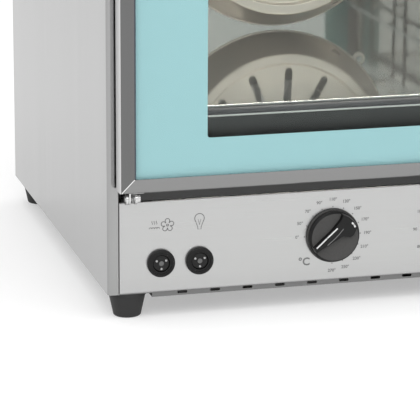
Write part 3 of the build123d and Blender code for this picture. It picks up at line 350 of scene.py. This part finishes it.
# Finishes by the record's material slots
FINISHES = {
    "casing_steel": sheet_steel("casing_steel", 0.345, [160.0, 160.0, 3.0], 0.18, streak=0.14),
    "panel_steel": sheet_steel("panel_steel", 0.49, [6.0, 6.0, 900.0], 0.3),
    # Near-black on the front frame: painted shade, so that the gap under the door reads dark.
    "black_enamel": moulding("black_enamel", grey(0.02), 0.3, pores=500.0, depth=0.00002),
    "frame_steel": sheet_steel("frame_steel", 0.42, [900.0, 6.0, 6.0], 0.36),
    "pan_steel": sheet_steel("pan_steel", 0.2, [6.0, 900.0, 6.0], 0.42),
    "galvanised_steel": bright_metal("galvanised_steel", 0.42, 0.45, spots=140.0, worn=0.18),
    "zinc_screws": bright_metal("zinc_screws", 0.6, 0.25, warmth=0.03),
    "polished_steel": bright_metal("polished_steel", 0.6, 0.05, warmth=0.03, spots=12.0, metallic=0.9),
    "cover_steel": bright_metal("cover_steel", 0.58, 0.3, warmth=0.08, spots=12.0, metallic=0.6),
    "gasket_silicone": moulding("gasket_silicone", (0.1, 0.092, 0.1, 1), 0.62),
    "mineral_wool": fibre_blanket("mineral_wool"),
    "cast_alloy": bright_metal("cast_alloy", 0.5, 0.42, spots=200.0, worn=0.1),
    "turned_steel": bright_metal("turned_steel", 0.55, 0.2, spots=80.0),
    "motor_enamel": moulding("motor_enamel", grey(0.02), 0.35),
    "element_sheath": moulding("element_sheath", (0.06, 0.055, 0.05, 1), 0.55, pores=300.0),
    "lamp_ceramic": moulding("lamp_ceramic", (0.8, 0.78, 0.72, 1), 0.6, pores=400.0),
    "lamp_glass": clear_glass("lamp_glass", (0.93, 0.95, 0.95, 1), 0.03),
    "black_plastic": moulding("black_plastic", grey(0.01), 0.34, shine=0.2),
    "knob_plastic": knob_plastic("knob_plastic"),
    "button_plastic": button_plastic("button_plastic"),
    "control_plastic": moulding("control_plastic", (0.62, 0.55, 0.4, 1), 0.5),
    "green_lens": lens("green_lens", (0.02, 0.33, 0.07, 1)),
    "amber_lens": lens("amber_lens", (0.72, 0.2, 0.02, 1)),
    "foot_rubber": moulding("foot_rubber", grey(0.035), 0.6, pores=500.0, shine=0.3),
    "door_steel": sheet_steel("door_steel", 0.25, [6.0, 6.0, 900.0], 0.14),
    "door_glass": clear_glass("door_glass", (0.96, 0.975, 0.97, 1), 0.008),
    "handle_steel": sheet_steel("handle_steel", 0.6, [6.0, 700.0, 700.0], 0.3),
    "hinge_steel": bright_metal("hinge_steel", 0.62, 0.2, spots=90.0, worn=0.1),
    "spring_steel": bright_metal("spring_steel", 0.42, 0.25, spots=150.0),
    "rack_chrome": bright_metal("rack_chrome", 0.66, 0.1, spots=60.0),
}
# Stiles: a darker copy of the door steel, with a painted dark reflection on the face and a painted highlight
# on the sides.
STILE_STEEL_PAINTED_LIGHT = stile_steel_painted_light("stile_steel_painted_light", 0.15, 0.64, 0.13, 0.5)
BLUE_PRINT = printed("blue_print", (0.376, 0.631, 0.672, 1))
MARK_PRINT = printed("mark_print", grey(0.17), 0.5)
WHITE_PRINT = printed("white_print", grey(0.75), 0.5)
# Grey of the second line on the knobs' grips: a painted highlight.
PAINTED_HIGHLIGHT_GREY = printed("painted_highlight_grey", grey(0.17), 0.5)
SEAL_BLACK = moulding("seal_black", (0.045, 0.06, 0.08, 1), 0.4)
# Pale bright steel for the mitre beads: a painted highlight.
BEAD_PAINTED_HIGHLIGHT = bright_metal("bead_painted_highlight", 0.8, 0.2)

for entry in frame["record"]["subparts"]:
    carried = frame["nodes"][entry["node"]]
    carried.data.materials.clear()
    carried.data.materials.append(FINISHES[entry["material_slot"]])
for stile in ("door_left_stile", "door_right_stile"):
    frame["nodes"][stile].data.materials[0] = STILE_STEEL_PAINTED_LIGHT


def make_object(name, mesh, material):
    """Turn a finished bmesh into an object in the scene."""
    bmesh.ops.remove_doubles(mesh, verts=mesh.verts, dist=1e-7)
    bmesh.ops.recalc_face_normals(mesh, faces=mesh.faces)
    data = bpy.data.meshes.new(name)
    mesh.to_mesh(data)
    mesh.free()
    data.materials.append(material)
    made = bpy.data.objects.new(name, data)
    bpy.context.scene.collection.objects.link(made)
    return made


def add_piece(name, mesh, material, body):
    """Put a finished bmesh into the scene as a piece that rides on a body."""
    piece = make_object(name, mesh, material)
    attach(piece, body)


def add_box(mesh, low, high):
    """Box between two corners. Gives back its edges."""
    low, high = Vector(low), Vector(high)
    place = Matrix.Translation((low + high) / 2) @ Matrix.Diagonal((*(high - low), 1))
    made = bmesh.ops.create_cube(mesh, size=1, matrix=place)["verts"]
    return list({edge for vert in made for edge in vert.link_edges})


def round_edges(mesh, edges, radius, segments=2):
    """Bevel these edges."""
    bmesh.ops.bevel(mesh, geom=edges, offset=radius, segments=segments, profile=0.5,
                    affect="EDGES", material=-1)


# Blue border printed on the inside of the outer glass
glass_low, glass_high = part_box("door_glass")
print_front = glass_high.y + FILM
COLUMNS = (glass_low.x, -WINDOW_HALF, WINDOW_HALF, glass_high.x)
ROWS = (glass_low.z, WINDOW_LOW, WINDOW_HIGH, glass_high.z)
border = bmesh.new()
for vert in bmesh.ops.create_grid(border, x_segments=3, y_segments=3, size=1.5)["verts"]:
    vert.co = (COLUMNS[round(vert.co.x + 1.5)], print_front, ROWS[round(vert.co.y + 1.5)])
border_middle = Vector((0, print_front, (WINDOW_LOW + WINDOW_HIGH) / 2))
window = min(border.faces, key=lambda face: (face.calc_center_median() - border_middle).length)
window_corners = list(window.verts)
bmesh.ops.delete(border, geom=[window], context="FACES_ONLY")
bmesh.ops.bevel(border, geom=window_corners, offset=WINDOW_CORNER, segments=6, profile=0.5,
                affect="VERTICES", material=-1)
bmesh.ops.solidify(border, geom=border.faces[:], thickness=PRINT_THICKNESS)
add_piece("door_print", border, BLUE_PRINT, "door")

# Panel marks stand a little proud of the control panel
panel_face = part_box("control_panel")[0].y
mark_front = panel_face - MARK_THICKNESS


def upright(x, z):
    """Placement of flat work, drawn in x and y, on the control panel's face."""
    return Matrix.Translation((x, mark_front, z)) @ Matrix.Rotation(pi / 2, 4, "X")


def add_disc(mesh, x, z, radius):
    """Thin round mark on the panel."""
    rim = bmesh.ops.create_circle(mesh, cap_ends=True, segments=12, radius=radius, matrix=upright(x, z))
    faces = list({face for vert in rim["verts"] for face in vert.link_faces})
    made = bmesh.ops.extrude_face_region(mesh, geom=faces)
    deeper = [item for item in made["geom"] if isinstance(item, bmesh.types.BMVert)]
    bmesh.ops.translate(mesh, verts=deeper, vec=(0, MARK_THICKNESS, 0))


def add_stroke(mesh, points, width, face=panel_face):
    """Line of even width through points given as (x, z), on a face across the depth."""
    for (x0, z0), (x1, z1) in zip(points, points[1:]):
        along = Vector((x1 - x0, 0, z1 - z0))
        place = Matrix.Translation(((x0 + x1) / 2, face - MARK_THICKNESS / 2, (z0 + z1) / 2))
        turned = place @ Vector((1, 0, 0)).rotation_difference(along.normalized()).to_matrix().to_4x4()
        size = Matrix.Diagonal((along.length + width * 0.5, MARK_THICKNESS, width, 1))
        bmesh.ops.create_cube(mesh, size=1, matrix=turned @ size)


def add_text(mesh, words, x, z, height):
    """Flat lettering centred at a place on the panel, with a capital of this height."""
    data = bpy.data.curves.new("lettering", "FONT")
    data.body = words
    data.size = height / 0.72
    data.align_x = "CENTER"
    data.align_y = "CENTER"
    data.extrude = MARK_THICKNESS / 2
    data.offset = height * 0.035
    data.resolution_u = 3
    letters = bpy.data.objects.new("lettering", data)
    bpy.context.scene.collection.objects.link(letters)
    bpy.context.view_layer.update()
    flat = bpy.data.meshes.new_from_object(letters)
    flat.transform(upright(x, z) @ Matrix.Translation((0, 0, -MARK_THICKNESS / 2)))
    mesh.from_mesh(flat)
    bpy.data.objects.remove(letters)
    bpy.data.curves.remove(data)
    bpy.data.meshes.remove(flat)


def arc_points(x, z, radius, start, end, steps):
    """Points along an arc, with angles in degrees anticlockwise from the right."""
    angles = [radians(start + (end - start) * step / steps) for step in range(steps + 1)]
    return [(x + radius * cos(angle), z + radius * sin(angle)) for angle in angles]


def add_scale(mesh, node, numbers, first_deg, step_deg, unit=""):
    """Numbers and ticks round a knob, clockwise from first_deg."""
    centre = middle(node)
    for index, number in enumerate(numbers):
        angle = radians(first_deg - step_deg * index)
        add_text(mesh, f"{number}{unit}", centre.x + SCALE_RADIUS * cos(angle),
                 centre.z + SCALE_RADIUS * sin(angle), 3.4 * MM)
        add_disc(mesh, centre.x + TICK_RADIUS * cos(angle), centre.z + TICK_RADIUS * sin(angle), 0.75 * MM)


# Fan mark: five open petals round a hub, beside two rows of heat strokes
marks = bmesh.new()
for petal in range(5):
    turn = 90 + 72 * petal
    away = Vector((cos(radians(turn)), sin(radians(turn)))) * 4.6 * MM
    add_stroke(marks, arc_points(FAN_MARK.x + away.x, FAN_MARK.y + away.y, 2.5 * MM,
                                 turn - 140, turn + 140, 12), LINE)
add_stroke(marks, arc_points(FAN_MARK.x, FAN_MARK.y, 1.1 * MM, 0, 360, 10), LINE)
for column in (-16.6, -14.2, -11.8):
    x = FAN_MARK.x + column * MM
    wave = [(x + 0.5 * MM * sin(step * pi / 3), FAN_MARK.y + (1.6 + step * 0.6) * MM)
            for step in range(7)]
    add_stroke(marks, wave, 0.6 * MM)
for column in (-18.4, -15.6, -12.8, -10.0):
    x = FAN_MARK.x + column * MM
    add_stroke(marks, arc_points(x, FAN_MARK.y - 3.2 * MM, 1.4 * MM, 180, 0, 6), 0.6 * MM)
add_piece("fan_mark", marks, MARK_PRINT, "oven_body")

# Bulb mark: round top that narrows to a cap
marks = bmesh.new()
outline = arc_points(BULB_MARK.x, BULB_MARK.y + 3 * MM, 5.2 * MM, 215, -35, 18)
for across, up in ((1.9, -6.2), (1.7, -8.8), (-1.7, -8.8), (-1.9, -6.2)):
    outline.append((BULB_MARK.x + across * MM, BULB_MARK.y + up * MM))
add_stroke(marks, outline + outline[:1], LINE)
filament = [(BULB_MARK.x + across * MM, BULB_MARK.y + up * MM)
            for across, up in ((-1.5, 2), (0, -4), (1.5, 2))]
add_stroke(marks, filament, 0.5 * MM)
add_piece("bulb_mark", marks, MARK_PRINT, "oven_body")

# Temperature scale with its unit, and the timer's scale
marks = bmesh.new()
add_scale(marks, "thermostat_spindle", THERMOSTAT_SCALE, 180, 22.5, "°")
add_text(marks, "°C", DEGREE_MARK.x, DEGREE_MARK.y, 8.6 * MM)
add_piece("temperature_scale", marks, MARK_PRINT, "oven_body")
marks = bmesh.new()
add_scale(marks, "timer_spindle", TIMER_SCALE, 90, 30)
add_piece("timer_scale", marks, MARK_PRINT, "oven_body")


def mark_knob(knob, body, pointer_deg):
    """White pointer line and notch, and a second thin grey line that is a painted highlight, on top of a
    knob's grip.
    """
    grip_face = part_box(f"{knob}_knob")[0].y
    centre = middle(f"{knob}_spindle")
    ahead = Vector((cos(radians(pointer_deg)), sin(radians(pointer_deg))))
    left = Vector((-ahead.y, ahead.x))

    def on_grip(*places):
        points = [ahead * along * MM + left * aside * MM for along, aside in places]
        return [(centre.x + point.x, centre.z + point.y) for point in points]

    white, thin = bmesh.new(), bmesh.new()
    add_stroke(white, on_grip((-23, 5.0), (-8, 6.7), (7, 8.2)), 1.5 * MM, grip_face)
    add_stroke(white, on_grip((23.6, 2.9), (23.9, 0), (23.6, -2.9)), 1.8 * MM, grip_face)
    add_stroke(thin, on_grip((-11.9, 0.1), (-4, 0.5), (4, 1.5), (12, 3.5)), 0.8 * MM, grip_face)
    add_piece(f"{knob}_pointer_line", white, WHITE_PRINT, body)
    add_piece(f"{knob}_painted_highlight_line", thin, PAINTED_HIGHLIGHT_GREY, body)


mark_knob("thermostat", "thermostat_dial", 36)
mark_knob("timer", "timer_dial", 90)

# Polished beads along the mitres of the door frame, in pale steel that paints a highlight along each mitre
left_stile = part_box("door_left_stile")
right_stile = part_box("door_right_stile")
door_face = left_stile[0].y
beads = bmesh.new()
for corner_x in (left_stile[0].x, right_stile[1].x):
    for corner_z in (left_stile[0].z, left_stile[1].z):
        corner = Vector((corner_x, door_face, corner_z))
        inward = Vector((-1 if corner_x > 0 else 1, 0, 1 if corner_z < middle("door_glass").z else -1))
        start, end = corner + inward * BEAD_IN, corner + inward * FACE_WIDTH
        turned = Vector((1, 0, 0)).rotation_difference(inward.normalized()).to_matrix().to_4x4()
        size = Matrix.Diagonal(((end - start).length, BEAD_DEPTH, BEAD_WIDTH, 1))
        bmesh.ops.create_cube(beads, size=1, matrix=Matrix.Translation((start + end) / 2) @ turned @ size)
add_piece("mitre_beads", beads, BEAD_PAINTED_HIGHLIGHT, "door")

# Dark seals between the door's stiles and the glass, with rounded edges
bottom_rail, top_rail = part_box("door_bottom_rail"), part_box("door_top_rail")
seals = bmesh.new()
seal_edges = []
for side in (-1, 1):
    stile_edge = side * (right_stile[1].x - FACE_WIDTH)
    x_low, x_high = sorted((stile_edge, stile_edge - side * SEAL_WIDTH))
    seal_edges += add_box(seals, (x_low, glass_low.y - SEAL_PROUD, bottom_rail[0].z + FACE_WIDTH),
                          (x_high, glass_low.y - FILM, top_rail[1].z - FACE_WIDTH))
round_edges(seals, seal_edges, SEAL_ROUND)
add_piece("glass_seals", seals, SEAL_BLACK, "door")


def make_floor():
    """Plain pale floor that shows white and keeps the shadow."""
    mesh = bmesh.new()
    bmesh.ops.create_grid(mesh, x_segments=1, y_segments=1, size=9)
    graph = surface("floor_paint")
    seen = graph.rays("Camera", "Glossy", "Transmission")
    paint = graph.principled(base_color=grey(0.6), roughness=0.8, emission_color=grey(1.0),
                             emission_strength=seen * 0.38)
    make_object("floor", mesh, graph.show(paint))


def make_world():
    """White surroundings, which every kind of ray sees alike."""
    graph = Graph(bpy.data.worlds.new("studio"), "ShaderNodeOutputWorld")
    white = graph.node("ShaderNodeBackground", {}, {"Color": grey(1.0), "Strength": 1.0})
    bpy.context.scene.world = graph.show(white)


def make_lamp(name, place, target, size, power, colour=(1, 1, 1)):
    """Rectangular soft lamp of (width, height), aimed at a place."""
    data = bpy.data.lights.new(name, "AREA")
    data.shape = "RECTANGLE"
    data.size, data.size_y = size
    data.energy = power
    data.color = colour
    lamp = bpy.data.objects.new(name, data)
    bpy.context.scene.collection.objects.link(lamp)
    lamp.location = place
    lamp.rotation_euler = (Vector(target) - Vector(place)).to_track_quat("-Z", "Y").to_euler()
    return lamp


def make_oven_light():
    """Warm light under the cavity's roof, near the mouth, like that of an oven that is switched on."""
    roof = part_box("cavity_liner")[1].z
    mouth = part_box("cavity_liner")[0].y
    place, target = (0, mouth + 0.03, roof - 0.02), (0, mouth + 0.06, roof - 0.25)
    lamp = make_lamp("oven_light", place, target, (0.4, 0.03), 2.0, (1, 0.95, 0.86))
    lamp.visible_camera = False
    lamp.visible_transmission = False


def make_camera():
    """Camera at the picture's place and angle."""
    data = bpy.data.cameras.new("camera")
    data.sensor_width = SENSOR_MM
    data.lens = FOCAL_PIXELS / PICTURE_WIDTH * SENSOR_MM
    data.clip_end = 50
    camera = bpy.data.objects.new("camera", data)
    bpy.context.scene.collection.objects.link(camera)
    ahead = Vector((sin(CAMERA_YAW) * cos(CAMERA_PITCH), cos(CAMERA_YAW) * cos(CAMERA_PITCH),
                    -sin(CAMERA_PITCH)))
    level = Vector((cos(CAMERA_YAW), -sin(CAMERA_YAW), 0))
    down = ahead.cross(level)
    right = level * cos(CAMERA_ROLL) + down * sin(CAMERA_ROLL)
    below = down * cos(CAMERA_ROLL) - level * sin(CAMERA_ROLL)
    turned = Matrix((right, -below, -ahead)).transposed()
    camera.matrix_world = Matrix.Translation(CAMERA_PLACE) @ turned.to_4x4()
    bpy.context.scene.camera = camera


OVEN_MIDDLE = (0, 0, 0.25)
make_floor()
make_world()
make_lamp("softbox_front", (-0.6, -2.6, 3.2), OVEN_MIDDLE, (4.0, 3.0), 50)
make_lamp("softbox_left", (-2.2, -1.2, 3.0), OVEN_MIDDLE, (2.6, 2.6), 10)
make_lamp("softbox_right", (2.0, -1.6, 3.0), OVEN_MIDDLE, (2.6, 2.6), 14)
make_oven_light()
make_camera()
bpy.context.scene.view_settings.view_transform = "Standard"
